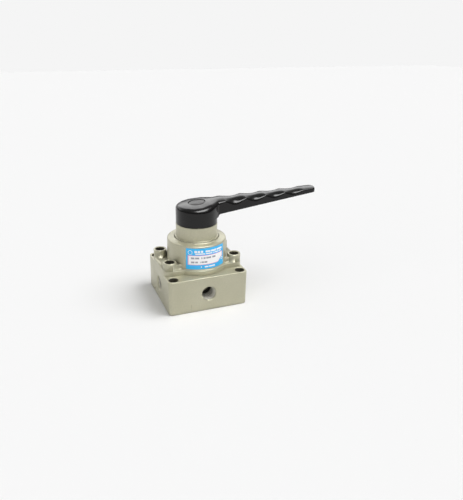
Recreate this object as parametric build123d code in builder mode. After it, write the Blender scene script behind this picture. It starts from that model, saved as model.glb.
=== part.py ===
"""Hand lever rotary air valve, four ports and three positions, in millimetres.

Origin: centre of the valve body's underside. +Z is up, along the spindle; -Y is the face with the
supply port; the lever points along +X in its middle position, where all ports are shut.
"""

import os
from math import asin, cos, degrees, radians, sin

from build123d import *

# ---- driving dimensions ------------------------------------------------------------------------
BODY_X = 68.0
BODY_Y = 63.0
BODY_Z = 30.0
BODY_CORNER_R = 3.0
BODY_FOOT_CHAMFER = 0.4

PORT_R = 5.9  # tapping drill of a G1/4 thread
PORT_MOUTH_R = 6.75
PORT_DEPTH = 13.0
PORT_Z = 15.0
GALLERY_R = 3.5  # drilling from a port to its riser
RISER_R = 3.25  # upright passage to the seat
SEAT_PITCH_R = 10.5  # distance of the risers from the spindle axis

MOUNT_INSET = 5.2  # mounting hole axes from the body's sides
MOUNT_HOLE_R = 2.25
MOUNT_HEAD_R = 4.0
MOUNT_HEAD_DEPTH = 4.5

FLANGE_R = 26.75  # bonnet foot
FLANGE_H = 4.0
BARREL_R = 25.2
BARREL_TOP_R = 24.7
BARREL_H = 24.5  # foot to shoulder
BARREL_EDGE_R = 1.5
COLLAR_R = 18.3
COLLAR_H = 1.3
NECK_R = 17.3
NECK_H = 36.9  # foot to the top of the neck
CHAMBER_R = 18.5
CHAMBER_H = 20.9

BOSS_INSET = 5.7  # screw boss axes from the ends of the body
BOSS_PITCH_Y = 29.4
BOSS_R = 5.5
BOSS_H = 10.7
BOSS_BORE_FLOOR = 3.5  # metal left under the screw head
RIB_W = 4.4
RIB_H = 8.0

SCREW_R = 2.0  # M4 socket head screws
SCREW_HEAD_R = 3.5
SCREW_HEAD_GAP = 0.5  # round the head, in its boss
SCREW_HEAD_H = 4.0
SCREW_KEY = 3.0
SCREW_LENGTH = 14.0
LOCK_WASHER_LIP = 0.1  # shown round the screw head
LOCK_WASHER_H = 0.9
LOCK_WASHER_GAP = 0.8

SEAL_PITCH_R = 21.6  # body O-ring
SEAL_R = 0.95
SEAL_GROOVE_W = 2.3
SEAL_GROOVE_DEPTH = 1.6

DISC_CLEARANCE = 2.5  # rotary valve disc to the chamber wall
DISC_H = 8.0
GROOVE_W = 7.0
GROOVE_DEPTH = 3.2
GROOVE_SWEEP = 90.0
BLEED_R = 1.0
TANG_W = 5.0
TANG_L = 14.0
TANG_BITE = 4.0

SPRING_PITCH_R = 8.6
SPRING_WIRE_R = 0.6
SPRING_POCKET_DEPTH = 2.0
SPRING_TURNS = 3

DRUM_CLEARANCE = 1.0  # spindle flange to the chamber wall
DRUM_H = 7.65
JOURNAL_R = 7.0
SQUARE = 10.0
SQUARE_H = 6.1
SEAL_RISE = 6.1  # spindle O-ring above the chamber's ceiling
SPINDLE_SEAL_R = 0.84
SPINDLE_GROOVE_DEPTH = 1.7
SWING = 45.0  # lever travel each way from the middle

STOP_PIN_R = 1.5
STOP_PIN_BITE = 2.5
STOP_PIN_INSET = 2.5  # pin axis from the chamber wall
THRUST_WASHER_R = 10.4
THRUST_WASHER_H = 1.0
BUSH_WALL = 2.0
BUSH_H = 14.0

BALL_R = 2.5
BALL_PITCH_R = 13.0
BALL_WELL_DEPTH = 6.65
DIMPLE_R = 2.6
DIMPLE_RISE = 0.9  # how far a dimple goes into the chamber's ceiling
DETENT_PITCH_R = 1.7
DETENT_WIRE_R = 0.25
DETENT_TURNS = 3

HUB_R = 17.3
HUB_H = 16.1
HUB_RIM_R = 5.0
HUB_TILT = 1.8  # the hub's top is this much lower at its far end
HUB_WALL = 2.8
HUB_CORE_R = 10.0
HUB_CORE_H = 6.5
HUB_GAP = 0.4  # air between the bonnet neck and the lever
LEVER_REACH = 109.0  # spindle axis to the tip
GRIP_ROOT_W = 17.2
GRIP_TIP_W = 11.8
GRIP_TIP_R = 3.6
GRIP_BLEND_R = 12.0
GRIP_EDGE_R = 1.0
GRIP_FLOOR_H = 7.3  # grip underside above the hub's foot, at the hub wall
GRIP_FLOOR_RISE = 6.1  # its slope, degrees
GRIP_THROAT_R = 4.0
CREST_COUNT = 5
CREST_X = 23.0  # the first crest
CREST_PITCH = 18.3
CREST_H = 1.9  # first crest above the hub's top
CREST_RISE = 0.019  # rise of the crest line along the grip
FINGER_DEPTH = 3.0  # at the grip's edges
FINGER_CREST_DEPTH = 0.7  # on its centre line
FINGER_DEPTH_STEP = 0.22  # each finger groove is this much shallower than the one before
SHOULDER_R = 60.0  # where the hub's flat top sweeps up to the first crest

WEB_H = 1.7  # lever metal between the square and the washer
HEAD_WELL_R = 6.4
CAP_WELL_R = 7.25
CAP_WELL_DEPTH = 2.6
CAP_H = 2.2
LEVER_WASHER_R = 6.0
LEVER_WASHER_H = 1.0
LEVER_SCREW_R = 2.5
LEVER_SCREW_HEAD_R = 4.25
LEVER_SCREW_HEAD_H = 4.0
LEVER_SCREW_LENGTH = 14.0

LABEL_FROM = -39.2  # degrees from the front, seen from above
LABEL_TO = 40.8
LABEL_FOOT = 5.0  # above the bonnet's foot
LABEL_H = 18.0
LABEL_T = 0.2

LABEL_GAP = 0.1  # adhesive

SLIP = 0.05  # running clearance, on a radius
FIT = 0.02  # gap between pieces that stand together
CAP_GAP = 0.15  # dark ring round the cap

# ---- places worked out from them ---------------------------------------------------------------
HALF_X = BODY_X / 2
HALF_Y = BODY_Y / 2
PORTS = ((270.0, HALF_Y), (0.0, HALF_X), (90.0, HALF_Y), (180.0, HALF_X))  # heading, reach
BOSS_BORE_R = SCREW_HEAD_R + SCREW_HEAD_GAP
LOCK_WASHER_R = SCREW_HEAD_R + LOCK_WASHER_LIP
DISC_R = CHAMBER_R - DISC_CLEARANCE
DRUM_R = CHAMBER_R - DRUM_CLEARANCE
STOP_PITCH_R = CHAMBER_R - STOP_PIN_INSET
BUSH_R = JOURNAL_R + BUSH_WALL
BOSS_X = HALF_X - BOSS_INSET
BOSS_Y = BOSS_PITCH_Y / 2
BOSS_GRID = (2 * BOSS_X, 2 * BOSS_Y, 2, 2)
FLANGE_TOP_Z = BODY_Z + FLANGE_H
BARREL_TOP_Z = BODY_Z + BARREL_H
NECK_TOP_Z = BODY_Z + NECK_H
CEILING_Z = BODY_Z + CHAMBER_H
SCREW_SEAT_Z = BODY_Z + BOSS_BORE_FLOOR
SCREW_HEAD_Z = SCREW_SEAT_Z + LOCK_WASHER_H
DISC_FOOT_Z = BODY_Z + FIT
DISC_TOP_Z = DISC_FOOT_Z + DISC_H
DRUM_TOP_Z = CEILING_Z - THRUST_WASHER_H - SLIP
DRUM_Z = DRUM_TOP_Z - DRUM_H
SEAL_Z = CEILING_Z + SEAL_RISE
BALL_Z = CEILING_Z - SLIP - BALL_R
BALL_WELL_Z = DRUM_TOP_Z - BALL_WELL_DEPTH
DIMPLE_Z = CEILING_Z + DIMPLE_RISE - DIMPLE_R
SQUARE_Z = NECK_TOP_Z
SQUARE_TOP_Z = SQUARE_Z + SQUARE_H
HUB_Z = NECK_TOP_Z + HUB_GAP
HUB_TOP_Z = HUB_Z + HUB_H
WASHER_Z = SQUARE_TOP_Z + WEB_H
CAP_Z = HUB_TOP_Z - CAP_WELL_DEPTH
LEVER_HEAD_Z = WASHER_Z + LEVER_WASHER_H


def save(piece, name):
    """Labels a finished piece and writes it as one STEP file."""
    piece.part.label = name
    export_step(piece.part, f"parts/{name}.step")


def round_edges(piece, z):
    """The circular edges of a piece at one height, smallest first."""
    level = piece.edges().filter_by(GeomType.CIRCLE).filter_by_position(Axis.Z, z - 0.01, z + 0.01)
    return level.sort_by(SortBy.RADIUS)


def coil(name, centre, z_low, z_high, pitch_r, wire_r, turns):
    """A compression spring between two heights, its wire just clear of both."""
    rise = z_high - z_low - 2 * (wire_r + FIT)
    with BuildPart() as spring:
        with BuildLine():
            start = (centre[0], centre[1], z_low + wire_r + FIT)
            path = Helix(rise / turns, rise, pitch_r, center=start)
        with BuildSketch(Plane(origin=path @ 0, z_dir=path % 0)):
            Circle(wire_r)
        sweep(is_frenet=True)
    save(spring, name)


os.makedirs("parts", exist_ok=True)

# ---- valve body: cast block with four tapped ports, risers to the lapped seat, and its fixings ----
with BuildPart() as valve_body:
    with BuildSketch():
        RectangleRounded(BODY_X, BODY_Y, BODY_CORNER_R)
    extrude(amount=BODY_Z)
    chamfer(valve_body.faces().sort_by(Axis.Z)[0].edges(), BODY_FOOT_CHAMFER)
    for heading, reach in PORTS:
        outward = Vector(1, 0, 0).rotate(Axis.Z, heading)
        mouth = Plane(origin=outward * reach + Vector(0, 0, PORT_Z), z_dir=outward)
        with Locations(mouth):
            CounterSinkHole(PORT_R, PORT_MOUTH_R, depth=PORT_DEPTH, counter_sink_angle=90)
            Hole(GALLERY_R, depth=reach - SEAT_PITCH_R)
    with Locations(Plane.XY.offset(BODY_Z)):
        with PolarLocations(SEAT_PITCH_R, 4):
            Hole(RISER_R, depth=BODY_Z - PORT_Z)
        with GridLocations(BODY_X - 2 * MOUNT_INSET, BODY_Y - 2 * MOUNT_INSET, 2, 2):
            CounterBoreHole(MOUNT_HOLE_R, MOUNT_HEAD_R, MOUNT_HEAD_DEPTH)
        with GridLocations(*BOSS_GRID):
            Hole(SCREW_R + SLIP, depth=SCREW_LENGTH - (SCREW_HEAD_Z - BODY_Z) + 1)
    with BuildSketch(Plane.XY.offset(BODY_Z)):
        Circle(SEAL_PITCH_R + SEAL_GROOVE_W / 2)
        Circle(SEAL_PITCH_R - SEAL_GROOVE_W / 2, mode=Mode.SUBTRACT)
    extrude(amount=-SEAL_GROOVE_DEPTH, mode=Mode.SUBTRACT)
save(valve_body, "valve_body")

# ---- bonnet: drafted barrel and stepped neck on a flange with four ribbed screw bosses -----------
with BuildPart() as bonnet:
    with BuildSketch(Plane.XY.offset(BODY_Z)):
        Circle(FLANGE_R)
        RectangleRounded(BODY_X, BOSS_PITCH_Y + 2 * BOSS_R, BOSS_R)
    extrude(amount=FLANGE_H)
    with BuildSketch(Plane.XY.offset(BODY_Z)):
        for x in (-BOSS_X, BOSS_X):
            with Locations((x / 2, BOSS_Y), (x / 2, -BOSS_Y)):
                Rectangle(BOSS_X, RIB_W)
    extrude(amount=RIB_H)
    with BuildSketch(Plane.XY.offset(BODY_Z)):
        with GridLocations(*BOSS_GRID):
            Circle(BOSS_R)
    extrude(amount=BOSS_H)
    chamfer(round_edges(bonnet, BODY_Z + BOSS_H), 0.3)
    with BuildSketch(Plane.XZ):
        Polygon(
            (0, BODY_Z),
            (BARREL_R, BODY_Z),
            (BARREL_R, FLANGE_TOP_Z),
            (BARREL_TOP_R, BARREL_TOP_Z),
            (COLLAR_R, BARREL_TOP_Z),
            (COLLAR_R, BARREL_TOP_Z + COLLAR_H),
            (NECK_R, BARREL_TOP_Z + COLLAR_H),
            (NECK_R, NECK_TOP_Z),
            (0, NECK_TOP_Z),
            align=None,
        )
    revolve(axis=Axis.Z)
    fillet(round_edges(bonnet, BARREL_TOP_Z)[-1], BARREL_EDGE_R)
    fillet(round_edges(bonnet, BARREL_TOP_Z)[0], 0.6)
    fillet(round_edges(bonnet, BARREL_TOP_Z + COLLAR_H)[-1], 0.35)
    fillet(round_edges(bonnet, NECK_TOP_Z), 0.3)
    with BuildSketch(Plane.XY.offset(BODY_Z)):
        Circle(CHAMBER_R)
    extrude(amount=CHAMBER_H, mode=Mode.SUBTRACT)
    with BuildSketch(Plane.XY.offset(CEILING_Z)):
        Circle(BUSH_R)
    extrude(amount=NECK_TOP_Z - CEILING_Z, mode=Mode.SUBTRACT)
    with Locations((0, STOP_PITCH_R, CEILING_Z)):
        Cylinder(STOP_PIN_R, 2 * STOP_PIN_BITE, mode=Mode.SUBTRACT)
    for middle in (0.0, 180.0):
        with Locations(Plane.XY.offset(DIMPLE_Z)):
            with PolarLocations(BALL_PITCH_R, 3, middle - SWING, 2 * SWING, endpoint=True):
                Sphere(DIMPLE_R, mode=Mode.SUBTRACT)
    with Locations(Plane.XY.offset(BODY_Z + BOSS_H)):
        with GridLocations(*BOSS_GRID):
            CounterBoreHole(SCREW_R + 0.25, BOSS_BORE_R, BOSS_H - BOSS_BORE_FLOOR)
save(bonnet, "bonnet")

# ---- bonnet fixings: socket head screws on split lock washers -------------------------------------
with BuildPart() as bonnet_screws:
    with BuildSketch(Plane.XY.offset(SCREW_HEAD_Z)):
        with GridLocations(*BOSS_GRID):
            Circle(SCREW_R)
    extrude(amount=-SCREW_LENGTH)
    chamfer(bonnet_screws.faces().group_by(Axis.Z)[0].edges(), 0.4)
    with BuildSketch(Plane.XY.offset(SCREW_HEAD_Z)):
        with GridLocations(*BOSS_GRID):
            Circle(SCREW_HEAD_R)
    extrude(amount=SCREW_HEAD_H)
    chamfer(bonnet_screws.faces().group_by(Axis.Z)[-1].edges(), 0.4)
    with BuildSketch(Plane.XY.offset(SCREW_HEAD_Z + SCREW_HEAD_H)):
        with GridLocations(*BOSS_GRID):
            RegularPolygon(SCREW_KEY / 2, 6, major_radius=False)
    extrude(amount=-SCREW_HEAD_H / 2, mode=Mode.SUBTRACT)
save(bonnet_screws, "bonnet_screws")

with BuildPart() as lock_washers:
    with BuildSketch(Plane.XY.offset(SCREW_SEAT_Z)):
        with GridLocations(*BOSS_GRID):
            Circle(LOCK_WASHER_R)
            Circle(SCREW_R + SLIP, mode=Mode.SUBTRACT)
            with Locations((LOCK_WASHER_R / 2, 0)):
                Rectangle(LOCK_WASHER_R, LOCK_WASHER_GAP, mode=Mode.SUBTRACT)
    extrude(amount=LOCK_WASHER_H)
save(lock_washers, "lock_washers")

# ---- body O-ring: pressed flat between the block and the bonnet -----------------------------------
with BuildPart() as body_seal:
    with BuildSketch(Plane.XZ):
        with Locations((SEAL_PITCH_R, BODY_Z - SEAL_GROOVE_DEPTH / 2)):
            Ellipse(SEAL_R, SEAL_GROOVE_DEPTH / 2 - FIT)
    revolve(axis=Axis.Z)
save(body_seal, "body_seal")

# ---- valve disc: each face groove joins two neighbouring risers when the lever is thrown ----------
with BuildPart() as valve_disc:
    with BuildSketch(Plane.XY.offset(DISC_FOOT_Z)):
        Circle(DISC_R)
    extrude(amount=DISC_H)
    chamfer(round_edges(valve_disc, DISC_TOP_Z), 0.5)
    with BuildSketch(Plane.XY.offset(DISC_FOOT_Z)):
        for middle in (90.0, 270.0):
            groove = CenterArc((0, 0), SEAT_PITCH_R, middle - GROOVE_SWEEP / 2, GROOVE_SWEEP)
            SlotArc(groove, GROOVE_W)
    extrude(amount=GROOVE_DEPTH, mode=Mode.SUBTRACT)
    with BuildSketch(Plane.XY.offset(DISC_TOP_Z)):
        Circle(SPRING_PITCH_R + SPRING_WIRE_R + 0.4)
    extrude(amount=-SPRING_POCKET_DEPTH, mode=Mode.SUBTRACT)
    with BuildSketch(Plane.XY.offset(DISC_TOP_Z)):
        Rectangle(TANG_L + 2 * SLIP, TANG_W + 2 * SLIP)
    extrude(amount=-(TANG_BITE + SLIP), mode=Mode.SUBTRACT)
    with Locations((0, 0, DISC_TOP_Z)):
        Hole(BLEED_R)
save(valve_disc, "valve_disc")
coil(
    "disc_spring",
    (0, 0),
    DISC_TOP_Z - SPRING_POCKET_DEPTH,
    DRUM_Z,
    SPRING_PITCH_R,
    SPRING_WIRE_R,
    SPRING_TURNS,
)

# ---- spindle: tang, drum with ball wells and stop notch, journal with O-ring groove, lever square ---
with BuildPart() as spindle:
    with BuildSketch(Plane.XY.offset(DISC_TOP_Z - TANG_BITE)):
        Rectangle(TANG_L, TANG_W)
    extrude(amount=DRUM_Z - DISC_TOP_Z + TANG_BITE)
    with BuildSketch(Plane.XY.offset(DRUM_Z)):
        Circle(DRUM_R)
    extrude(amount=DRUM_H)
    chamfer(spindle.edges().filter_by(GeomType.CIRCLE), 0.4)
    with BuildSketch(Plane.XY.offset(DRUM_TOP_Z)):
        Circle(JOURNAL_R)
    extrude(amount=SQUARE_Z - DRUM_TOP_Z)
    with BuildSketch(Plane.XY.offset(SQUARE_Z)):
        Rectangle(SQUARE, SQUARE)
        Circle(JOURNAL_R - 0.3, mode=Mode.INTERSECT)
    extrude(amount=SQUARE_H)
    chamfer(spindle.faces().sort_by(Axis.Z)[-1].edges(), 0.4)
    with Locations(Plane.XY.offset(DRUM_TOP_Z)):
        with Locations((BALL_PITCH_R, 0), (-BALL_PITCH_R, 0)):
            Hole(BALL_R + SLIP, depth=BALL_WELL_DEPTH)
    notch_r = STOP_PITCH_R - STOP_PIN_R - 6 * SLIP
    notch_half = SWING + degrees(asin((STOP_PIN_R + 2 * SLIP) / STOP_PITCH_R))
    with BuildSketch(Plane.XY.offset(DRUM_Z)):
        with BuildLine():
            bottom = CenterArc((0, 0), notch_r, 90 - notch_half, 2 * notch_half)
            rim = CenterArc((0, 0), DRUM_R + 1, 90 - notch_half, 2 * notch_half)
            Line(bottom @ 0, rim @ 0)
            Line(bottom @ 1, rim @ 1)
        make_face()
    extrude(amount=DRUM_H, mode=Mode.SUBTRACT)
    with BuildSketch(Plane.XZ):
        with Locations((JOURNAL_R, SEAL_Z)):
            Rectangle(2 * SPINDLE_GROOVE_DEPTH, 2 * SPINDLE_SEAL_R + 0.4)
    revolve(axis=Axis.Z, mode=Mode.SUBTRACT)
    with Locations(Plane.XY.offset(SQUARE_TOP_Z)):
        Hole(LEVER_SCREW_R + SLIP, depth=LEVER_SCREW_LENGTH - (LEVER_HEAD_Z - SQUARE_TOP_Z) + 1)
save(spindle, "spindle")

with BuildPart() as spindle_seal:
    with BuildSketch(Plane.XZ):
        with Locations((JOURNAL_R - SPINDLE_GROOVE_DEPTH + SPINDLE_SEAL_R + FIT, SEAL_Z)):
            Circle(SPINDLE_SEAL_R)
    revolve(axis=Axis.Z)
save(spindle_seal, "spindle_seal")

# ---- bearings and stop ----------------------------------------------------------------------------
with BuildPart() as neck_bush:
    with BuildSketch(Plane.XY.offset(CEILING_Z + 0.1)):
        Circle(BUSH_R)
        Circle(JOURNAL_R + SLIP, mode=Mode.SUBTRACT)
    extrude(amount=BUSH_H)
save(neck_bush, "neck_bush")

with BuildPart() as thrust_washer:
    with BuildSketch(Plane.XY.offset(CEILING_Z - THRUST_WASHER_H)):
        Circle(THRUST_WASHER_R)
        Circle(JOURNAL_R + 2 * SLIP, mode=Mode.SUBTRACT)
    extrude(amount=THRUST_WASHER_H)
save(thrust_washer, "thrust_washer")

with BuildPart() as stop_pin:
    with BuildSketch(Plane.XY.offset(CEILING_Z + STOP_PIN_BITE)):
        with Locations((0, STOP_PITCH_R)):
            Circle(STOP_PIN_R)
    extrude(amount=DRUM_Z + 1.5 - CEILING_Z - STOP_PIN_BITE)
save(stop_pin, "stop_pin")

# ---- detent: two balls, each on its own spring in a well of the drum -------------------------------
for side, x in (("right", BALL_PITCH_R), ("left", -BALL_PITCH_R)):
    with BuildPart() as detent_ball:
        with Locations((x, 0, BALL_Z)):
            Sphere(BALL_R)
    save(detent_ball, f"detent_ball_{side}")
    coil(
        f"detent_spring_{side}",
        (x, 0),
        BALL_WELL_Z,
        BALL_Z - BALL_R,
        DETENT_PITCH_R,
        DETENT_WIRE_R,
        DETENT_TURNS,
    )

# ---- lever: skirted hub that sweeps into a tapering grip with finger grooves across its top ---------
grip_slope = (GRIP_ROOT_W - GRIP_TIP_W) / 2 / (LEVER_REACH - HUB_R)
crests = [CREST_X + i * CREST_PITCH for i in range(CREST_COUNT)]


def crest_z(x):
    """Height of the line that the crests touch."""
    return HUB_TOP_Z + CREST_H + CREST_RISE * (x - CREST_X)


def floor_z(x):
    """Height of the grip's straight underside."""
    return HUB_Z + GRIP_FLOOR_H + (x - HUB_R) * sin(radians(GRIP_FLOOR_RISE))


# what is cut away to give the hub a broad rounded rim that fades out where the grip leaves it
with BuildPart() as hub_form:
    with BuildSketch(Plane.XY.offset(HUB_TOP_Z - 2 * HUB_RIM_R)):
        with BuildLine():
            CenterArc((0, 0), HUB_R, 0, 360)
            CenterArc((2.4 * HUB_R, 0), 1.7 * HUB_R, 0, 360)
        make_hull()
    extrude(amount=2 * HUB_RIM_R)
    fillet(hub_form.faces().sort_by(Axis.Z)[-1].edges(), HUB_RIM_R)
    extrude(hub_form.faces().sort_by(Axis.Z)[-1], amount=2 * HUB_RIM_R)

with BuildPart() as rim_waste:
    with Locations((-HUB_R, 0, HUB_TOP_Z)):
        Box(3.6 * HUB_R, 4 * HUB_R, 4 * HUB_RIM_R)
    add(hub_form.part, mode=Mode.SUBTRACT)

with BuildPart() as lever:
    with BuildSketch(Plane.XY.offset(HUB_Z)) as plan:
        Circle(HUB_R)
        Polygon(
            (0, -GRIP_ROOT_W / 2 - HUB_R * grip_slope),
            (LEVER_REACH, -GRIP_TIP_W / 2),
            (LEVER_REACH, GRIP_TIP_W / 2),
            (0, GRIP_ROOT_W / 2 + HUB_R * grip_slope),
            align=None,
        )
        fillet(plan.vertices().filter_by(lambda v: 1 < v.X < LEVER_REACH - 1), GRIP_BLEND_R)
        fillet(plan.vertices().group_by(Axis.X)[-1], GRIP_TIP_R)
    extrude(amount=HUB_H + 10)
    with BuildSketch(Plane.XZ) as profile:
        with BuildLine() as outline:
            throat_x = HUB_R - 4
            throat_foot = floor_z(throat_x) - GRIP_THROAT_R - 1
            Polyline(
                (crests[0], crest_z(crests[0])),
                (LEVER_REACH + 1, crest_z(LEVER_REACH)),
                (LEVER_REACH + 1, floor_z(LEVER_REACH + 1)),
                (throat_x, floor_z(throat_x)),
                (throat_x, throat_foot),
                (-HUB_R - 1, throat_foot),
                (-HUB_R - 1, HUB_TOP_Z - HUB_TILT),
                (0, HUB_TOP_Z),
                close=True,
            )
        make_face()
        throat = profile.vertices().sort_by_distance((throat_x, 0, floor_z(throat_x)))[0]
        fillet(throat, GRIP_THROAT_R)
        bends = profile.vertices().filter_by(lambda v: -1 < v.X < crests[0] + 1 and v.Y > HUB_TOP_Z - 1)
        fillet(bends, SHOULDER_R)
    extrude(amount=HUB_R + 1, both=True, mode=Mode.INTERSECT)
    with BuildSketch(Plane.XY.offset(HUB_Z)):
        Circle(HUB_R)
    extrude(amount=HUB_H / 2)
    rim = lever.edges().filter_by(
        lambda e: e.center().Z > HUB_TOP_Z - 3 and (e @ 0 - e @ 1).Z ** 2 < 4 and e.length > 2
        and abs((e @ 0).Z - floor_z((e @ 0).X)) > 0.5 and abs((e @ 1).Z - floor_z((e @ 1).X)) > 0.5
        and abs((e @ 0).Y + (e @ 1).Y) > 4
    )
    fillet(rim, GRIP_EDGE_R)
    add(rim_waste.part, mode=Mode.SUBTRACT)
    # finger grooves: shallow on the centre line and deep at both edges
    for i in range(CREST_COUNT - 1):
        x = (crests[i] + crests[i + 1]) / 2
        half_width = GRIP_ROOT_W / 2 - grip_slope * (x - HUB_R)
        depth = FINGER_DEPTH - i * FINGER_DEPTH_STEP
        finger_r = ((CREST_PITCH / 2) ** 2 + depth**2) / (2 * depth)
        lean = (depth - FINGER_CREST_DEPTH) / half_width
        middle = (x, 0, crest_z(x) - FINGER_CREST_DEPTH + finger_r)
        for side in (-1, 1):
            with BuildSketch(Plane(origin=middle, x_dir=(1, 0, 0), z_dir=(0, side, -lean))):
                Circle(finger_r)
            extrude(amount=2 * HUB_R, mode=Mode.SUBTRACT)
    with BuildSketch(Plane.XY.offset(HUB_Z)):
        Circle(HUB_R - HUB_WALL)
        Circle(HUB_CORE_R, mode=Mode.SUBTRACT)
    extrude(amount=HUB_CORE_H, mode=Mode.SUBTRACT)
    with BuildSketch(Plane.XY.offset(HUB_Z)):
        Rectangle(SQUARE + 2 * SLIP, SQUARE + 2 * SLIP)
    extrude(amount=SQUARE_TOP_Z + 0.3 - HUB_Z, mode=Mode.SUBTRACT)
    for floor, radius in ((CAP_Z, CAP_WELL_R), (WASHER_Z, HEAD_WELL_R), (HUB_Z, LEVER_SCREW_R + 0.25)):
        with BuildSketch(Plane.XY.offset(floor)):
            Circle(radius)
        extrude(amount=2 * HUB_H, mode=Mode.SUBTRACT)
save(lever, "lever")

# ---- lever fixings: washer and socket head screw, hidden under a press-in cap ----------------------
with BuildPart() as lever_washer:
    with BuildSketch(Plane.XY.offset(WASHER_Z)):
        Circle(LEVER_WASHER_R)
        Circle(LEVER_SCREW_R + SLIP, mode=Mode.SUBTRACT)
    extrude(amount=LEVER_WASHER_H)
save(lever_washer, "lever_washer")

with BuildPart() as lever_screw:
    with BuildSketch(Plane.XY.offset(LEVER_HEAD_Z)):
        Circle(LEVER_SCREW_HEAD_R)
    extrude(amount=LEVER_SCREW_HEAD_H)
    with BuildSketch(Plane.XY.offset(LEVER_HEAD_Z)):
        Circle(LEVER_SCREW_R)
    extrude(amount=-LEVER_SCREW_LENGTH)
    with BuildSketch(Plane.XY.offset(LEVER_HEAD_Z + LEVER_SCREW_HEAD_H)):
        RegularPolygon(SCREW_KEY / 2, 6, major_radius=False)
    extrude(amount=-LEVER_SCREW_HEAD_H / 2, mode=Mode.SUBTRACT)
save(lever_screw, "lever_screw")

with BuildPart() as lever_cap:
    with BuildSketch(Plane.XY.offset(CAP_Z)):
        Circle(CAP_WELL_R - CAP_GAP)
    extrude(amount=CAP_H)
    fillet(round_edges(lever_cap, CAP_Z + CAP_H), 0.5)
save(lever_cap, "lever_cap")

# ---- label: thin sticker wrapped on the front of the drafted barrel --------------------------------
draft = (BARREL_R - BARREL_TOP_R) / (BARREL_H - FLANGE_H)
label_r = BARREL_R - draft * (LABEL_FOOT - FLANGE_H) + LABEL_GAP
label_lean = draft * LABEL_H
with BuildPart() as label:
    with BuildSketch(Plane.XZ):
        Polygon(
            (label_r, BODY_Z + LABEL_FOOT),
            (label_r + LABEL_T, BODY_Z + LABEL_FOOT),
            (label_r + LABEL_T - label_lean, BODY_Z + LABEL_FOOT + LABEL_H),
            (label_r - label_lean, BODY_Z + LABEL_FOOT + LABEL_H),
            align=None,
        )
    revolve(axis=Axis.Z, revolution_arc=LABEL_TO - LABEL_FROM)
label.part.label = "label"
placed_label = label.part.rotate(Axis.Z, LABEL_FROM - 90)
placed_label.label = "label"
export_step(placed_label, "parts/label.step")
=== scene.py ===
from math import cos, pi, radians, sin

import bmesh
import bpy
from mathutils import Matrix, Vector, kdtree


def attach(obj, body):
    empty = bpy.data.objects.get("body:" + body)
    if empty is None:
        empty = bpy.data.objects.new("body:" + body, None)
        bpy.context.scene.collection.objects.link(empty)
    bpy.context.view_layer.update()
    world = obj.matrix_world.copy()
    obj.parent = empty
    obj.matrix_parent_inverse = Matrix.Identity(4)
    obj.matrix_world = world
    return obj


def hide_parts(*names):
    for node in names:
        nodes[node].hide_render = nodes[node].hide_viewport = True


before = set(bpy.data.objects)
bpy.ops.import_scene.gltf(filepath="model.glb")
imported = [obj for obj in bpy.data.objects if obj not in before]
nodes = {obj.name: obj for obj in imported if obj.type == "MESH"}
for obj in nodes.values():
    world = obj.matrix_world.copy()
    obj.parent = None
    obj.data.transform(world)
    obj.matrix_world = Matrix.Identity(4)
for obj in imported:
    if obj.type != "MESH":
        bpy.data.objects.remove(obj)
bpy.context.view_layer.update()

MM = 0.001
SKY = 0.6  # radiance of the studio ceiling
PANEL = 2.5  # radiance of the rear panel in reflections
SOFTBOX = 13.0  # and of the front softbox

# ---- sizes in millimetres, as the real valve has them ----------------------------------------------
# label and barrel
LABEL_ARC = (-39.2, 40.8)  # degrees round the barrel from its front
LABEL_FOOT = 35.0
LABEL_TOP = 53.0
LABEL_MEAN_R = 25.0
BARREL_FOOT_R = 25.2
BARREL_DRAFT = 0.5 / 20.5
BARREL_FOOT_Z = 34.0
# layers of the label, by height above the barrel's metal; each starts just inside the one under it
SHEET_FROM, SHEET_TO = 0.02, 0.20
INK_FROM, INK_TO = 0.19, 0.22
WHITE_FROM, WHITE_TO = 0.21, 0.24
NOTE_FROM = 0.23
BAR_T = 0.03
# the label's white panel, as shares of the sheet
PANEL_HEAD = 0.33
PANEL_BASE = 0.79
PANEL_BORDER = 0.35  # millimetres of pink edge
CUT_FROM, CUT_TO = 0.80, 0.90  # its lower right corner is cut away between these
CUT_RISE = 0.20
# lever
HUB_R = 17.3
HUB_FOOT_Z = 67.3
HUB_SKIRT_Z = 77.0
REACH = 109.0  # spindle axis to the tip
TIP_R = 3.0
TIP_ZONE = 20.0  # this near the tip, the hub's outline no longer counts
GRIP_ROOT_HALF = 8.6
GRIP_TIP_HALF = 5.9
SHOULDER_BLEND = 5.0  # where the hub's outline and the grip's are this close, they run together
GRIP_FLOOR_Z = 74.2  # underside at the hub
GRIP_RISE = 6.0  # its slope, degrees
THROAT_R = 2.2
THROAT_INSET = 1.0  # the throat starts this far inside the hub wall
CREST_X = 22.5  # the first crest
CREST_PITCH = 18.5
FINGER_COUNT = 4
FINGER_BITE = 3.5  # depth of the first finger groove at the grip's edges
FINGER_EASE = 0.35  # each groove is this much shallower than the one before
CAP_WELL_R = 7.25
CAP_WELL_TOP_Z = 95  # above the casting, so the well is open
CAP_FLOOR_Z = 80.9
CAP_PROUD = 0.3
DRIVE_BORE_R = 5.2
DRIVE_BORE_TOP_Z = 78
RIDGE = [(-17.3, 82.3), (-8, 83.4), (0, 84.1), (9, 85.2), (22.5, 86.4), (41, 86.8), (60, 87.1), (80, 87.5),
         (110, 88.0)]  # height of the centre line
CROWN = [(-17.3, 1.2), (5, 1.6), (22, 1.6), (60, 1.3), (109, 0.9)]  # fall from the centre line to the edge
RIM = [(-17.3, 1.8), (-10, 3.0), (6, 4.4), (13, 3.0), (22, 1.0), (109, 1.0)]  # edge radius
# grids that the lever is skinned on
HUB_STEPS, HUB_SECTIONS = 60, 45
SECTION_STEP = 0.6
TIP_STEPS = 10
CAST_GRID = 0.28
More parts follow.
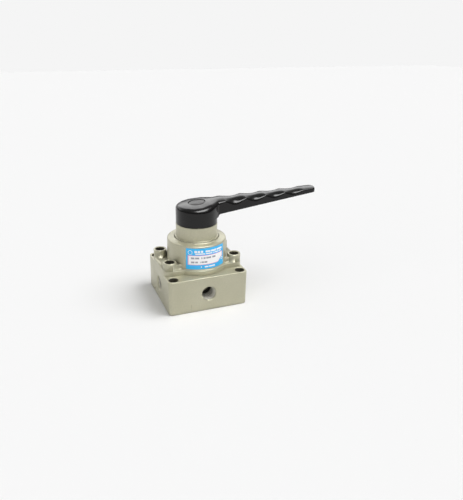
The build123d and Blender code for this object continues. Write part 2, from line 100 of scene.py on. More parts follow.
# ports
THREAD_PITCH = 1.337
THREAD_R = 5.9
THREAD_RIDGE = 0.32
THREAD_HALF = 0.42  # half the width of a ridge's foot
THREAD_START = 1.2  # depth of the first turn
THREAD_FADE = 12  # steps over which the ridge rises and dies away
PORT_Z = 15.0
PORT_REACH = {0: 34.0, 90: 31.5, 180: 34.0, 270: 31.5}
BRIGHT_FROM, BRIGHT_L = 1.3, 4.6  # clean part of a tapped bore, behind its mouth
DARK_FROM, DARK_L = 5.9, 7.0  # and the darker part behind that, which is painted shade
GALLERY_R = 3.5
# screw wells
WELL_R = 3.96
MOUNT_AT, MOUNT_TOP_Z, MOUNT_WELL_L, MOUNT_HOLE_R = (28.8, 26.3), 29.5, 3.95, 2.25
BOSS_AT, BOSS_TOP_Z, BOSS_WELL_L, BOSS_FLOOR_R = (28.3, 14.7), 40.2, 5.8, 3.6
# cast figures: place beside the port's axis, foot above the base, and size
MARK_SIDE, MARK_FOOT_Z, MARK_SIZE = -15.0, 3.4, 5.5
FLOOR_HALF = 4  # metres


# ---- colour and nodes ------------------------------------------------------------------------------
def srgb(code):
    """A hex sRGB colour as linear red, green, blue and alpha."""
    levels = [int(code[i:i + 2], 16) / 255 for i in (1, 3, 5)]
    return [v / 12.92 if v <= 0.04045 else ((v + 0.055) / 1.055) ** 2.4 for v in levels] + [1.0]


def node(tree, kind, settings=None, **links):
    """Adds one shader node: settings go to its properties or sockets, links to its inputs."""
    new = tree.nodes.new(kind)
    for key, value in (settings or {}).items():
        if isinstance(key, str) and hasattr(new, key):
            setattr(new, key, value)
        else:
            new.inputs[key].default_value = value
    for key, source in links.items():
        place = int(key[1:]) if key[0] == "_" else key.replace("_", " ")
        tree.links.new(source, new.inputs[place])
    return new


def blank(name):
    """A new material with an empty node tree and its output."""
    made = bpy.data.materials.new(name)
    made.use_nodes = True
    tree = made.node_tree
    tree.nodes.clear()
    return made, tree


def finish_shader(tree, shader):
    """Joins a shader to the material's output."""
    node(tree, "ShaderNodeOutputMaterial", Surface=shader.outputs[0])


def sprayed_surface(name, light, dark, roughness, coat, peel_mm, peel_depth_mm, cast_depth_mm, specular,
                    metallic):
    """Paint on a casting: a fine orange peel over the slow waviness of the cast skin, with painted shade in
    its corners.
    """
    made, tree = blank(name)
    place = node(tree, "ShaderNodeTexCoord").outputs["Object"]
    drift = node(tree, "ShaderNodeTexNoise", {"Scale": 1 / (18 * MM), "Detail": 3.0}, Vector=place)
    grit = node(tree, "ShaderNodeTexNoise", {"Scale": 1 / (0.9 * MM), "Detail": 2.0}, Vector=place)
    tint = node(tree, "ShaderNodeMixRGB",
                {"blend_type": "MIX", "Color1": srgb(light), "Color2": srgb(dark)},
                Fac=drift.outputs["Fac"])
    speck = node(tree, "ShaderNodeMapRange",
                 {"From Min": 0.3, "From Max": 0.7, "To Min": 0.94, "To Max": 1.05},
                 Value=grit.outputs["Fac"])
    shade = node(tree, "ShaderNodeVectorMath", {"operation": "SCALE"},
                 _0=tint.outputs[0], Scale=speck.outputs[0])
    gloss = node(tree, "ShaderNodeMapRange",
                 {"From Min": 0.3, "From Max": 0.7, "To Min": roughness - 0.05, "To Max": roughness + 0.06},
                 Value=drift.outputs["Fac"])
    skin = node(tree, "ShaderNodeTexNoise", {"Scale": 1 / (7 * MM), "Detail": 1.0}, Vector=place)
    slow = node(tree, "ShaderNodeBump", {"Distance": cast_depth_mm * MM, "Strength": 1.0},
                Height=skin.outputs["Fac"])
    peel = node(tree, "ShaderNodeTexNoise", {"Scale": 1 / (peel_mm * MM), "Detail": 2.0}, Vector=place)
    fine = node(tree, "ShaderNodeBump", {"Distance": peel_depth_mm * MM, "Strength": 1.0},
                Height=peel.outputs["Fac"], Normal=slow.outputs[0])
    # painted shade: the colour darkens in corners and crevices, where ambient occlusion finds them
    corner_occlusion = node(tree, "ShaderNodeAmbientOcclusion", {"samples": 8, "Distance": 4.5 * MM})
    painted_corner_shade = node(tree, "ShaderNodeMapRange",
                {"From Min": 0.2, "From Max": 0.75, "To Min": 0.5, "To Max": 1.0},
                Value=corner_occlusion.outputs["AO"])
    shade = node(tree, "ShaderNodeVectorMath", {"operation": "SCALE"},
                 _0=shade.outputs[0], Scale=painted_corner_shade.outputs[0])
    shader = node(tree, "ShaderNodeBsdfPrincipled",
                  {"Specular IOR Level": specular, "Metallic": metallic, "IOR": 1.5, "Coat Weight": coat,
                   "Coat Roughness": 0.12},
                  Base_Color=shade.outputs[0], Roughness=gloss.outputs[0], Normal=fine.outputs[0])
    finish_shader(tree, shader)
    return made


def worked_metal(name, light, dark, roughness, grain_mm, grain_depth_mm, stretch=(1, 1, 1)):
    """Bare metal: tool marks or drawn grain, stretched along one axis where the process leaves lines."""
    made, tree = blank(name)
    place = node(tree, "ShaderNodeTexCoord").outputs["Object"]
    lined = node(tree, "ShaderNodeMapping", {"Scale": stretch}, Vector=place)
    grain = node(tree, "ShaderNodeTexNoise", {"Scale": 1 / (grain_mm * MM), "Detail": 3.0},
                 Vector=lined.outputs[0])
    tint = node(tree, "ShaderNodeMixRGB", {"Color1": srgb(light), "Color2": srgb(dark)},
                Fac=grain.outputs["Fac"])
    gloss = node(tree, "ShaderNodeMapRange", {"To Min": roughness - 0.08, "To Max": roughness + 0.1},
                 Value=grain.outputs["Fac"])
    bump = node(tree, "ShaderNodeBump", {"Distance": grain_depth_mm * MM}, Height=grain.outputs["Fac"])
    shader = node(tree, "ShaderNodeBsdfPrincipled", {"Metallic": 1.0},
                  Base_Color=tint.outputs[0], Roughness=gloss.outputs[0], Normal=bump.outputs[0])
    finish_shader(tree, shader)
    return made


def moulded(name, light, dark, roughness, ior, grain_mm, grain_depth_mm, coat=0.0):
    """Plastic, rubber, film or a bore's lining: a fine even skin with a little variation in tone."""
    made, tree = blank(name)
    place = node(tree, "ShaderNodeTexCoord").outputs["Object"]
    grain = node(tree, "ShaderNodeTexNoise", {"Scale": 1 / (grain_mm * MM), "Detail": 2.0}, Vector=place)
    tint = node(tree, "ShaderNodeMixRGB", {"Color1": srgb(light), "Color2": srgb(dark)},
                Fac=grain.outputs["Fac"])
    gloss = node(tree, "ShaderNodeMapRange", {"To Min": roughness - 0.04, "To Max": roughness + 0.05},
                 Value=grain.outputs["Fac"])
    bump = node(tree, "ShaderNodeBump", {"Distance": grain_depth_mm * MM}, Height=grain.outputs["Fac"])
    shader = node(tree, "ShaderNodeBsdfPrincipled",
                  {"IOR": ior, "Coat Weight": coat, "Coat Roughness": 0.1},
                  Base_Color=tint.outputs[0], Roughness=gloss.outputs[0], Normal=bump.outputs[0])
    finish_shader(tree, shader)
    return made


# ---- the valve's finishes --------------------------------------------------------------------------
# grey-green enamel sprayed on die-cast aluminium: semi-gloss, so rims catch broad soft lights
enamel = sprayed_surface("grey_green_enamel", "#BFBCA5", "#B3B098", 0.37, 0.08, 0.7, 0.006, 0.05, 0.5,
                         0.32)
# black stoved enamel on the cast lever: glossier, so it mirrors the studio as soft grey
stoved_black = sprayed_surface("stoved_black_enamel", "#0F0E0E", "#090808", 0.18, 0.1, 0.8, 0.002, 0.03,
                               0.3, 0.0)
cap_plastic = moulded("moulded_nylon_cap", "#2B2A2A", "#201F1F", 0.38, 1.53, 0.6, 0.008)
dark_steel = worked_metal("black_oxide_steel", "#3A3936", "#262523", 0.42, 0.5, 0.01)
tapped_bore = moulded("bare_bore_etched", "#D6D4CA", "#BEBBAF", 0.4, 1.6, 0.5, 0.01)
# painted shade: dark linings for the screw wells and for the inner part of each port, where the holes lie
# in shadow
well_shade_lining = moulded("painted_shade_screw_well", "#605D52", "#44423A", 0.45, 1.5, 0.9, 0.02)
inner_bore_shade = moulded("painted_shade_inner_bore", "#2E2C26", "#1F1E19", 0.35, 1.5, 0.9, 0.01)
turned_steel = worked_metal("turned_steel", "#B9B9BA", "#8F8F90", 0.28, 0.6, 0.006, (1, 1, 14))
wire_steel = worked_metal("drawn_spring_wire", "#9A9A9C", "#6C6C6E", 0.3, 0.3, 0.004)
lapped_aluminium = worked_metal("lapped_aluminium", "#C9CACC", "#B2B3B6", 0.33, 0.4, 0.004)
sintered_bronze = worked_metal("sintered_bronze", "#B08A55", "#8A683C", 0.5, 0.35, 0.02)
nitrile = moulded("moulded_nitrile", "#1E1E1D", "#151514", 0.6, 1.52, 0.4, 0.01)
label_blue = moulded("printed_film_blue", "#38C2FF", "#2EB8FC", 0.3, 1.5, 3.0, 0.004, 0.3)
label_white = moulded("printed_film_white", "#FFFFFF", "#FBF9FC", 0.32, 1.5, 3.0, 0.004, 0.3)
label_pink = moulded("printed_film_pink", "#F27FB2", "#EE74AA", 0.32, 1.5, 3.0, 0.004, 0.3)
label_grey = moulded("printed_film_grey", "#A9ABB4", "#9A9DA8", 0.34, 1.5, 3.0, 0.004, 0.3)

FINISHES = {
    "valve_body": enamel,
    "bonnet": enamel,
    "lever": stoved_black,
    "lever_cap": cap_plastic,
    "bonnet_screws": dark_steel,
    "lock_washers": dark_steel,
    "lever_screw": turned_steel,
    "lever_washer": turned_steel,
    "stop_pin": turned_steel,
    "spindle": turned_steel,
    "detent_ball_left": turned_steel,
    "detent_ball_right": turned_steel,
    "disc_spring": wire_steel,
    "detent_spring_left": wire_steel,
    "detent_spring_right": wire_steel,
    "valve_disc": lapped_aluminium,
    "neck_bush": sintered_bronze,
    "thrust_washer": sintered_bronze,
    "body_seal": nitrile,
    "spindle_seal": nitrile,
    "label": label_blue,
}
for name, finish in FINISHES.items():
    for i in range(len(nodes[name].material_slots)):
        nodes[name].material_slots[i].material = finish


# ---- meshes ----------------------------------------------------------------------------------------
def piece(name, verts, faces, finish, body, smooth=True):
    """A mesh piece from points in millimetres, riding on one body."""
    mesh = bpy.data.meshes.new(name)
    mesh.from_pydata([Vector(v) * MM for v in verts], [], faces)
    mesh.materials.append(finish)
    work = bmesh.new()
    work.from_mesh(mesh)
    bmesh.ops.remove_doubles(work, verts=work.verts, dist=1e-7)
    bmesh.ops.recalc_face_normals(work, faces=work.faces)
    work.to_mesh(mesh)
    work.free()
    if smooth:
        mesh.polygons.foreach_set("use_smooth", [True] * len(mesh.polygons))
        mesh.set_sharp_from_angle(angle=radians(35))
    made = bpy.data.objects.new(name, mesh)
    bpy.context.scene.collection.objects.link(made)
    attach(made, body)
    return made


def on_barrel(angle, z, lift):
    """A point on the drafted barrel, by degrees from its front, height and lift off the metal."""
    r = BARREL_FOOT_R - (z - BARREL_FOOT_Z) * BARREL_DRAFT + lift
    turn = radians(angle - 90)
    return (r * cos(turn), r * sin(turn), z)


def film(name, start, end, low, high, base, lift, finish, step=1.5):
    """A thin curved patch of film; low and high give its edges' heights at each angle."""
    count = max(1, round((end - start) / step))
    verts, faces = [], []
    for i in range(count + 1):
        angle = start + (end - start) * i / count
        z_low, z_high = low(angle), high(angle)
        verts += [on_barrel(angle, z_low, base), on_barrel(angle, z_low, lift)]
        verts += [on_barrel(angle, z_high, lift), on_barrel(angle, z_high, base)]
    for i in range(count):
        a, b = 4 * i, 4 * i + 4
        for j in range(4):
            k = (j + 1) % 4
            faces.append((a + j, b + j, b + k, a + k))
    faces += [(0, 1, 2, 3), (4 * count + 3, 4 * count + 2, 4 * count + 1, 4 * count)]
    return piece(name, verts, faces, finish, "valve")


def level(z):
    """An edge of a film that keeps one height all round."""
    return lambda angle: z


sheet_w = LABEL_ARC[1] - LABEL_ARC[0]
sheet_h = LABEL_TOP - LABEL_FOOT


def across(share):
    """Angle round the barrel at a share of the label's width."""
    return LABEL_ARC[0] + share * sheet_w


def down(share):
    """Height at a share of the label's height, from its top."""
    return LABEL_TOP - share * sheet_h


# ---- label: blue film, white panel with a thin pink edge, and plain ruled bars ---------------------
blue_sheet = film("label_sheet", *LABEL_ARC, level(LABEL_FOOT), level(LABEL_TOP),
                  SHEET_FROM, SHEET_TO, label_blue)
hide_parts("label")


def panel_foot(inset):
    """The panel's lower edge, with its right corner cut away above the bottom."""
    def foot(angle):
        cut = max(0.0, (angle - across(CUT_FROM)) / (across(CUT_TO) - across(CUT_FROM)))
        return down(PANEL_BASE) + inset + min(1.0, cut) * CUT_RISE * sheet_h
    return foot


film("label_panel_edge", across(0.045), across(0.955), panel_foot(0),
     level(down(PANEL_HEAD)), INK_FROM, INK_TO, label_pink)
film("label_panel", across(0.06), across(0.94), panel_foot(PANEL_BORDER),
     level(down(PANEL_HEAD) - PANEL_BORDER), WHITE_FROM, WHITE_TO, label_white)


def bars(name, top_share, height, spans, base, finish):
    """A row of short printed bars."""
    top = down(top_share)
    for i, (a, b) in enumerate(spans):
        film(f"{name}_{i}", across(a), across(b), level(top - height), level(top), base, base + BAR_T,
             finish)


bars("label_bar_top", 0.10, 1.9, [(0.20, 0.26), (0.275, 0.33), (0.35, 0.40)], INK_FROM, label_white)
bars("label_bar_name", 0.11, 1.5, [(0.46, 0.58), (0.595, 0.74), (0.76, 0.93)], INK_FROM, label_white)
bars("label_bar_line", 0.235, 0.9, [(0.22, 0.45), (0.47, 0.63), (0.66, 0.69), (0.71, 0.80), (0.82, 0.90)],
     INK_FROM, label_white)
bars("label_note_upper", 0.42, 1.5,
     [(0.12, 0.20), (0.215, 0.31), (0.36, 0.385), (0.41, 0.46), (0.475, 0.60), (0.63, 0.72)],
     NOTE_FROM, label_grey)
bars("label_note_lower", 0.62, 1.4, [(0.12, 0.20), (0.22, 0.28), (0.33, 0.345), (0.36, 0.42), (0.43, 0.50)],
     NOTE_FROM, label_grey)
bars("label_bar_foot", 0.86, 1.1, [(0.35, 0.37), (0.44, 0.53), (0.545, 0.70)], INK_FROM, label_white)


def disc_film(name, share_x, share_y, outer, inner, finish):
    """A printed ring on the film."""
    turn_per_mm = 1 / radians(1) / LABEL_MEAN_R
    verts, faces = [], []
    count = 32
    for i in range(count):
        t = 2 * pi * i / count
        for r, lift in ((inner, INK_FROM), (outer, INK_FROM), (outer, INK_TO), (inner, INK_TO)):
            angle = across(share_x) + r * cos(t) * turn_per_mm
            verts.append(on_barrel(angle, down(share_y) + r * sin(t), lift))
    for i in range(count):
        a, b = 4 * i, 4 * ((i + 1) % count)
        faces += [(a + j, b + j, b + (j + 1) % 4, a + (j + 1) % 4) for j in range(4)]
    return piece(name, verts, faces, finish, "valve")


disc_film("label_ring", 0.10, 0.19, 1.9, 1.55, label_white)
disc_film("label_dot", 0.935, 0.68, 1.3, 0.7, label_white)


# ---- port threads: one helical ridge standing in each port -----------------------------------------
def port_frame(heading):
    """Outward, sideways and upward directions of a port face."""
    turn = radians(heading)
    return Vector((cos(turn), sin(turn), 0)), Vector((-sin(turn), cos(turn), 0)), Vector((0, 0, 1))


def port_thread(name, heading):
    """The helical ridge of one port's thread, which rises and dies away at its ends."""
    outward, side, up = port_frame(heading)
    reach = PORT_REACH[heading]
    turns, steps = 8, 36
    verts, faces = [], []
    for i in range(turns * steps + 1):
        t = 2 * pi * i / steps
        depth = THREAD_START + THREAD_PITCH * i / steps
        fade = min(1.0, i / THREAD_FADE, (turns * steps - i) / THREAD_FADE)
        foot_r = THREAD_R + 0.03
        crest_r = THREAD_R - THREAD_RIDGE * fade - 0.01
        for along, r in ((-THREAD_HALF, foot_r), (0, crest_r), (THREAD_HALF, foot_r)):
            ring = side * cos(t) + up * sin(t)
            verts.append(outward * (reach - depth - along) + ring * r + up * PORT_Z)
    for i in range(turns * steps):
        a, b = 3 * i, 3 * i + 3
        faces += [(a + j, b + j, b + (j + 1) % 3, a + (j + 1) % 3) for j in range(3)]
    end = 3 * turns * steps
    faces += [(0, 1, 2), (end + 2, end + 1, end)]
    return piece(name, verts, faces, tapped_bore, "valve")


def lining(name, mouth, inward, radius, length, inner, finish):
    """A bore's lining: a thin sleeve with a flat end, open at its inner radius, of bare machined metal or
    of painted shade.
    """
    side = inward.orthogonal().normalized()
    up = inward.cross(side)
    count = 64
    skin = 0.02
    profile = ((0, radius), (length, radius), (length, inner), (length + skin, inner),
               (length + skin, radius + skin), (0, radius + skin))
    verts, faces = [], []
    for i in range(count):
        ring = side * cos(2 * pi * i / count) + up * sin(2 * pi * i / count)
        verts += [mouth + inward * along + ring * r for along, r in profile]
    for i in range(count):
        a, b = 6 * i, 6 * ((i + 1) % count)
        faces += [(a + j, b + j, b + (j + 1) % 6, a + (j + 1) % 6) for j in range(6)]
    return piece(name, verts, faces, finish, "valve")


# each port: a bare machined lining at its mouth, and a dark lining further in that is painted shade
for mark, heading in enumerate((270, 0, 90, 180), start=1):
    port_thread(f"port_thread_{mark}", heading)
    outward = port_frame(heading)[0]
    lift = Vector((0, 0, PORT_Z))
    lining(f"port_skin_{mark}", outward * (PORT_REACH[heading] - BRIGHT_FROM) + lift, -outward,
           THREAD_R - 0.04, BRIGHT_L, THREAD_R - 0.05, tapped_bore)
    lining(f"port_depth_{mark}", outward * (PORT_REACH[heading] - DARK_FROM) + lift, -outward,
           THREAD_R - 0.04, DARK_L, GALLERY_R, inner_bore_shade)
# the screw wells' dark linings are painted shade
corner = 0
straight_down = Vector((0, 0, -1))
for sx in (-1, 1):
    for sy in (-1, 1):
        corner += 1
        lining(f"mount_skin_{corner}", Vector((MOUNT_AT[0] * sx, MOUNT_AT[1] * sy, MOUNT_TOP_Z)),
               straight_down, WELL_R, MOUNT_WELL_L, MOUNT_HOLE_R, well_shade_lining)
        lining(f"boss_skin_{corner}", Vector((BOSS_AT[0] * sx, BOSS_AT[1] * sy, BOSS_TOP_Z)),
               straight_down, WELL_R, BOSS_WELL_L, BOSS_FLOOR_R, well_shade_lining)


# ---- cast numerals beside the ports ----------------------------------------------------------------
def numeral(text, heading, side_mm, z_mm, size_mm):
    """A raised cast figure, about 0.3 mm proud of the face."""
    outward, side, up = port_frame(heading)
    curve = bpy.data.curves.new(f"port_mark_{text}", "FONT")
    curve.body = text
    curve.size = size_mm * MM
    curve.extrude = 0.2 * MM
    curve.bevel_depth = 0.14 * MM
    curve.align_x = "CENTER"
    holder = bpy.data.objects.new("holder", curve)
    bpy.context.scene.collection.objects.link(holder)
    bpy.context.view_layer.update()
    mesh = bpy.data.meshes.new_from_object(holder)
    bpy.data.objects.remove(holder)
    mesh.name = f"port_mark_{text}"
    for v in mesh.vertices:
        flat = Vector(v.co)
        v.co = (outward * (PORT_REACH[heading] * MM + flat.z) + side * (side_mm * MM + flat.x)
                + up * (z_mm * MM + flat.y))
    mesh.materials.clear()
    mesh.materials.append(enamel)
    made = bpy.data.objects.new(f"port_mark_{text}", mesh)
    bpy.context.scene.collection.objects.link(made)
    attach(made, "valve")


for mark, heading in enumerate((270, 0, 90, 180), start=1):
    numeral(str(mark), heading, MARK_SIDE, MARK_FOOT_Z, MARK_SIZE)



# ---- castings: none has sharp corners, so finer ones replace the plain solids ----------------------
def soften(obj, grid_mm, rounds):
    """Remeshes a casting on an even grid and relaxes it, which rounds its corners a little."""
    grid = obj.modifiers.new("cast_grid", "REMESH")
    grid.mode = "VOXEL"
    grid.voxel_size = grid_mm * MM
    grid.use_smooth_shade = True
    relax = obj.modifiers.new("cast_rounding", "SMOOTH")
    relax.factor = 0.5
    relax.iterations = rounds


def round_corners(name, width_mm, foot_mm, merge_flats):
    """Replaces a casting by a copy whose sharp outer corners above its foot have a die's small radius."""
    work = bmesh.new()
    work.from_mesh(nodes[name].data)
    work.transform(nodes[name].matrix_world)
    bmesh.ops.remove_doubles(work, verts=work.verts, dist=1e-6)
    if merge_flats:
        bmesh.ops.dissolve_limit(work, angle_limit=radians(0.5), verts=work.verts, edges=work.edges)
    joined = [e for e in work.edges if len(e.link_faces) == 2]
    outer = [e for e in joined if e.calc_face_angle_signed(0.0) > radians(40)]
    sharp = [e for e in outer if min(v.co.z for v in e.verts) > foot_mm * MM]
    bmesh.ops.bevel(work, geom=sharp, offset=width_mm * MM, segments=3, profile=0.5, affect="EDGES",
                    clamp_overlap=False, loop_slide=True)
    bmesh.ops.triangulate(work, faces=[f for f in work.faces if len(f.verts) > 4])
    bmesh.ops.recalc_face_normals(work, faces=work.faces)
    mesh = bpy.data.meshes.new(name + "_casting")
    work.to_mesh(mesh)
    work.free()
    mesh.polygons.foreach_set("use_smooth", [True] * len(mesh.polygons))
    mesh.set_sharp_from_angle(angle=radians(32))
    mesh.materials.append(enamel)
    made = bpy.data.objects.new(name + "_casting", mesh)
    bpy.context.scene.collection.objects.link(made)
    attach(made, "valve")
    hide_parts(name)


round_corners("valve_body", width_mm=0.5, foot_mm=0.1, merge_flats=True)
round_corners("bonnet", width_mm=0.4, foot_mm=30.2, merge_flats=False)


def turned_skin():
    """The bonnet's round parts with a die's radii: foot ring, barrel, shoulder, collar and neck."""
    # radius, height and corner radius of each turn of the profile
    corners = ((26.78, 30.05, 0), (26.78, 34.05, 0.7), (25.24, 34.05, 0.7), (24.74, 54.53, 1.5),
               (19.5, 54.2, 1.0), (19.2, 54.53, 0.25), (18.33, 54.53, 0.2), (18.33, 55.83, 0.4),
               (17.33, 55.83, 0.3), (17.33, 66.85, 0))
    line = []
    for i, (r, z, fillet) in enumerate(corners):
        here = Vector((r, 0, z))
        if not fillet:
            line.append(here)
            continue
        into = (Vector((corners[i - 1][0], 0, corners[i - 1][1])) - here).normalized() * fillet
        away = (Vector((corners[i + 1][0], 0, corners[i + 1][1])) - here).normalized() * fillet
        for step in range(7):
            t = step / 6
            line.append(here + into * (1 - t) ** 2 + away * t * t)
    count = 192
    verts, faces = [], []
    for i in range(count):
        turn = 2 * pi * i / count
        verts += [(p.x * cos(turn), p.x * sin(turn), p.z) for p in line]
    rows = len(line)
    for i in range(count):
        a, b = rows * i, rows * ((i + 1) % count)
        faces += [(a + j, b + j, b + j + 1, a + j + 1) for j in range(rows - 1)]
    return piece("bonnet_skin", verts, faces, enamel, "valve")


turned_skin()


def smooth_step(x, low, high):
    """Rises from 0 to 1 between low and high, level at both ends."""
    t = min(1.0, max(0.0, (x - low) / (high - low)))
    return t * t * (3 - 2 * t)


def between(x, table):
    """A smooth value at x from a short table of (place, value) pairs, all in millimetres."""
    for (x0, v0), (x1, v1) in zip(table, table[1:]):
        if x <= x1:
            eased = (v1 - v0) * smooth_step(x, x0, x1) * 0.5
            return v0 + eased + (v1 - v0) * 0.5 * max(0.0, (x - x0) / (x1 - x0))
    return table[-1][1]


def half_width(x):
    """Half of the lever's plan width: round hub, hollow shoulders, tapering grip, rounded tip."""
    hub = max(0.0, HUB_R**2 - x * x) ** 0.5
    taper = (GRIP_TIP_HALF - GRIP_ROOT_HALF) * (x - HUB_R) / (REACH - HUB_R)
    grip = GRIP_ROOT_HALF + taper if x > 0 else 0.0
    over = x - (REACH - TIP_R)
    if over > 0:
        grip -= TIP_R - max(0.0, TIP_R**2 - over * over) ** 0.5
    meeting = 0 < x < REACH - TIP_ZONE
    mix = max(SHOULDER_BLEND - abs(hub - grip), 0.0) / SHOULDER_BLEND if meeting else 0.0
    return max(hub, grip) + mix * mix * SHOULDER_BLEND / 4


def crown_z(x, share):
    """Height of the lever's top at x, and at a share of its half width out from the centre line."""
    out = share * share
    height = between(x, RIDGE) - between(x, CROWN) * out
    place = (x - CREST_X) / CREST_PITCH
    if 0 < place < FINGER_COUNT:
        turn = place % 1.0
        rolling = (1 - cos(2 * pi * turn)) / 2
        scooped = 1 - (2 * turn - 1) ** 2
        bite = FINGER_BITE - FINGER_EASE * int(place)
        height -= bite * (0.2 * rolling + 0.8 * out * abs(share) * (0.35 * rolling + 0.65 * scooped))
    return height


def floor_z(x):
    """Height of the grip's underside, which turns down into the hub's skirt."""
    line = GRIP_FLOOR_Z + (x - HUB_R) * sin(radians(GRIP_RISE))
    near = THROAT_R - min(THROAT_R, max(0.0, x - HUB_R + THROAT_INSET))
    return line - THROAT_R + max(0.0, THROAT_R**2 - near**2) ** 0.5


def cast_lever():
    """The lever casting, skinned over cross sections from the back of the hub to the tip."""
    across_count = 40
    stations = [-HUB_R * cos(pi * i / HUB_STEPS) for i in range(1, HUB_SECTIONS + 1)]
    here = stations[-1]
    while here < REACH - TIP_R:
        here += SECTION_STEP
        stations.append(here)
    stations += [REACH - TIP_R + TIP_R * sin(pi / 2 * i / TIP_STEPS) for i in range(2, TIP_STEPS)]
    stations = [x for i, x in enumerate(stations) if i == 0 or x > stations[i - 1] + 0.01]
    # the plan outline, which the edge radius is measured from
    outline = kdtree.KDTree(4 * len(stations))
    for x in stations:
        for step in (0, 0.25):
            for side in (-1, 1):
                outline.insert((x + step, side * half_width(min(x + step, REACH)), 0), 0)
    outline.balance()
    top, bottom = [], []
    for x in stations:
        w = half_width(x)
        for j in range(across_count + 1):
            share = -cos(pi * j / across_count)
            y = share * w
            rim = between(x, RIM)
            inside = min(rim, outline.find((x, y, 0))[2])
            drop = rim - max(0.0, rim**2 - (rim - inside) ** 2) ** 0.5
            top.append((x, y, crown_z(x, share) - drop))
            bottom.append((x, y, floor_z(x)))
    n, row, size = len(stations), across_count + 1, len(top)
    verts = top + bottom
    faces = []
    for i in range(n - 1):
        for j in range(across_count):
            a = i * row + j
            faces.append((a, a + 1, a + row + 1, a + row))
            faces.append((size + a, size + a + row, size + a + row + 1, size + a + 1))
        a, b = i * row, i * row + across_count
        faces.append((a, a + row, size + a + row, size + a))
        faces.append((b, size + b, size + b + row, b + row))
    for i in (0, n - 1):
        for j in range(across_count):
            a = i * row + j
            faces.append((a, size + a, size + a + 1, a + 1))
    skin = bpy.data.meshes.new("skin")
    skin.from_pydata([Vector(v) * MM for v in verts], [], faces)
    work = bmesh.new()
    work.from_mesh(skin)
    bmesh.ops.create_cone(work, cap_ends=True, segments=160, radius1=HUB_R * MM, radius2=HUB_R * MM,
                          depth=(HUB_SKIRT_Z - HUB_FOOT_Z) * MM,
                          matrix=Matrix.Translation((0, 0, (HUB_FOOT_Z + HUB_SKIRT_Z) / 2 * MM)))
    bmesh.ops.recalc_face_normals(work, faces=work.faces)
    work.to_mesh(skin)
    work.free()
    solid = bpy.data.objects.new("solid", skin)
    bpy.context.scene.collection.objects.link(solid)
    soften(solid, CAST_GRID, 1)
    well = bpy.data.meshes.new("well")
    work = bmesh.new()
    for radius, low, high in ((CAP_WELL_R, CAP_FLOOR_Z, CAP_WELL_TOP_Z),
                              (DRIVE_BORE_R, HUB_FOOT_Z - 1, DRIVE_BORE_TOP_Z)):
        bmesh.ops.create_cone(work, cap_ends=True, segments=96, radius1=radius * MM, radius2=radius * MM,
                              depth=(high - low) * MM,
                              matrix=Matrix.Translation((0, 0, (low + high) / 2 * MM)))
    work.to_mesh(well)
    work.free()
    cutter = bpy.data.objects.new("cutter", well)
    bpy.context.scene.collection.objects.link(cutter)
    cut = solid.modifiers.new("wells", "BOOLEAN")
    cut.object = cutter
    cut.solver = "EXACT"
    mesh = bpy.data.meshes.new_from_object(solid.evaluated_get(bpy.context.evaluated_depsgraph_get()))
    bpy.data.objects.remove(solid)
    bpy.data.objects.remove(cutter)
    mesh.name = "lever_casting"
    mesh.polygons.foreach_set("use_smooth", [True] * len(mesh.polygons))
    mesh.set_sharp_from_angle(angle=radians(50))
    mesh.materials.clear()
    mesh.materials.append(stoved_black)
    made = bpy.data.objects.new("lever_casting", mesh)
    bpy.context.scene.collection.objects.link(made)
    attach(made, "lever")
    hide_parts("lever")


cast_lever()


def cap_face():
    """The press-in cap, flush with the sweep of the hub's top and slightly domed."""
    # radius, and fall below the cap's middle; the last ring stands on the well's floor
    profile = ((0.05, 0.0), (2.5, 0.06), (5.0, 0.25), (6.3, 0.45), (6.75, 0.7), (6.95, 1.1), (6.95, None))
    last = len(profile) - 1
    count = 96
    verts = []
    for r, drop in profile:
        for i in range(count):
            x, y = r * cos(2 * pi * i / count), r * sin(2 * pi * i / count)
            z = CAP_FLOOR_Z if drop is None else crown_z(x, y / half_width(x)) + CAP_PROUD - drop
            verts.append((x, y, z))
    faces = [tuple(range(count)), tuple(range(last * count, (last + 1) * count))]
    for k in range(last):
        for i in range(count):
            j = (i + 1) % count
            faces.append((k * count + i, k * count + j, (k + 1) * count + j, (k + 1) * count + i))
    made = piece("cap_face", verts, faces, cap_plastic, "lever")
    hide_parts("lever_cap")


cap_face()


# ---- studio: pale floor, a soft key from above right, and low fills from the front and the left ----
floor_mesh = bpy.data.meshes.new("studio_floor")
square = [(FLOOR_HALF * x, FLOOR_HALF * y, 0) for x, y in ((-1, -1), (1, -1), (1, 1), (-1, 1))]
floor_mesh.from_pydata(square, [], [(0, 1, 2, 3)])
floor = bpy.data.objects.new("studio_floor", floor_mesh)
bpy.context.scene.collection.objects.link(floor)
paper, tree = blank("floor_paper")
matt = node(tree, "ShaderNodeBsdfDiffuse", {"Color": srgb("#F3F3F3")})
finish_shader(tree, matt)
floor_mesh.materials.append(paper)

world = bpy.data.worlds.new("studio_light")
bpy.context.scene.world = world
world.use_nodes = True
tree = world.node_tree
tree.nodes.clear()
ray = node(tree, "ShaderNodeLightPath")
way = node(tree, "ShaderNodeSeparateXYZ", Vector=node(tree, "ShaderNodeTexCoord").outputs["Generated"])
# a bright ceiling over darker walls
sky = node(tree, "ShaderNodeMapRange", {"From Min": 0.05, "From Max": 0.9, "To Min": 0.14, "To Max": SKY},
           Value=way.outputs["Z"])
fill = node(tree, "ShaderNodeBackground", {"Color": srgb("#FFFFFF")}, Strength=sky.outputs[0])


# what only shows in gloss: a lit panel behind the valve, and a long softbox high up in front of it
def gate(axis, dark, lit):
    """A soft edge between directions: 0 at dark and 1 at lit, along one axis."""
    return node(tree, "ShaderNodeMapRange", {"From Min": dark, "From Max": lit}, Value=way.outputs[axis])


def product(first, second):
    """Lit only where both are."""
    return node(tree, "ShaderNodeMath", {"operation": "MULTIPLY"},
                _0=first.outputs[0], _1=second.outputs[0])


def strip(low, high):
    """A soft-edged band of directions between two heights, each given as (dark, lit)."""
    return product(gate("Z", *low), gate("Z", *high))


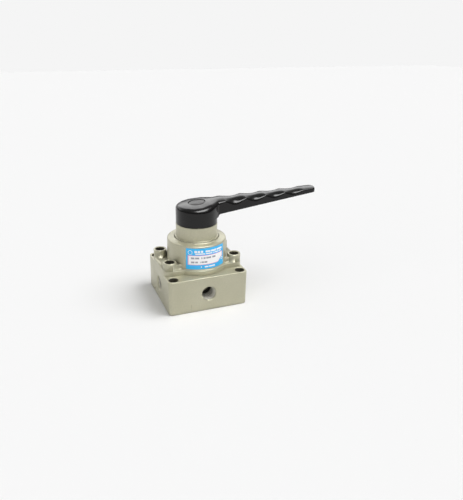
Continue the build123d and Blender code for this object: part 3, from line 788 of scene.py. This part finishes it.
behind = gate("Y", 0.25, 0.7)
before = gate("Y", -0.1, -0.28)
middle = product(gate("X", -0.32, -0.1), gate("X", 0.62, 0.45))
rear_patch = product(strip((0.16, 0.34), (0.80, 0.60)), behind)
front_band = product(strip((0.62, 0.72), (0.95, 0.90)), before)
front_patch = product(front_band, middle)
walls = node(tree, "ShaderNodeMapRange", {"From Min": 0.05, "From Max": 0.9, "To Min": 0.10, "To Max": 0.5},
             Value=way.outputs["Z"])
rear = node(tree, "ShaderNodeMath", {"operation": "MULTIPLY_ADD", 1: PANEL}, _0=rear_patch.outputs[0],
            _2=walls.outputs[0])
shine = node(tree, "ShaderNodeMath", {"operation": "MULTIPLY_ADD", 1: SOFTBOX}, _0=front_patch.outputs[0],
             _2=rear.outputs[0])
gloss = node(tree, "ShaderNodeBackground", {"Color": srgb("#FFFFFF")}, Strength=shine.outputs[0])
lit = node(tree, "ShaderNodeMixShader",
           Fac=ray.outputs["Is Glossy Ray"], _1=fill.outputs[0], _2=gloss.outputs[0])
# the camera sees a plain pale backdrop
seen = node(tree, "ShaderNodeBackground", {"Color": srgb("#F5F5F5"), "Strength": 1.0})
both = node(tree, "ShaderNodeMixShader",
            Fac=ray.outputs["Is Camera Ray"], _1=lit.outputs[0], _2=seen.outputs[0])
node(tree, "ShaderNodeOutputWorld", Surface=both.outputs[0])


def far_lamp(name, towards, spread, strength):
    """A distant lamp shining along a direction, its shadows softened by its spread in degrees."""
    data = bpy.data.lights.new(name, "SUN")
    data.energy, data.angle = strength, radians(spread)
    lamp = bpy.data.objects.new(name, data)
    lamp.visible_glossy = False
    lamp.rotation_euler = Vector(towards).to_track_quat("-Z", "Y").to_euler()
    bpy.context.scene.collection.objects.link(lamp)


far_lamp("key_lamp", (-0.5, 0.17, -0.85), 40, 1.98)
far_lamp("front_lamp", (0.3, 0.92, -0.15), 26, 0.44)
far_lamp("left_lamp", (0.95, 0.2, -0.12), 40, 0.5)

# ---- camera ----------------------------------------------------------------------------------------
azimuth, elevation, distance = radians(-19.41), radians(23.62), 0.4048
aim = Vector((0, 0, 0.040))
back = Vector((sin(azimuth) * cos(elevation), -cos(azimuth) * cos(elevation), sin(elevation)))
camera_data = bpy.data.cameras.new("camera")
camera_data.lens = 34.03
camera_data.shift_x = 0.070
camera_data.shift_y = 0.0026
camera_data.clip_start = 0.01
camera = bpy.data.objects.new("camera", camera_data)
camera.location = aim + back * distance
camera.rotation_euler = (-back).to_track_quat("-Z", "Y").to_euler()
bpy.context.scene.collection.objects.link(camera)
bpy.context.scene.camera = camera
bpy.context.scene.view_settings.view_transform = "Standard"
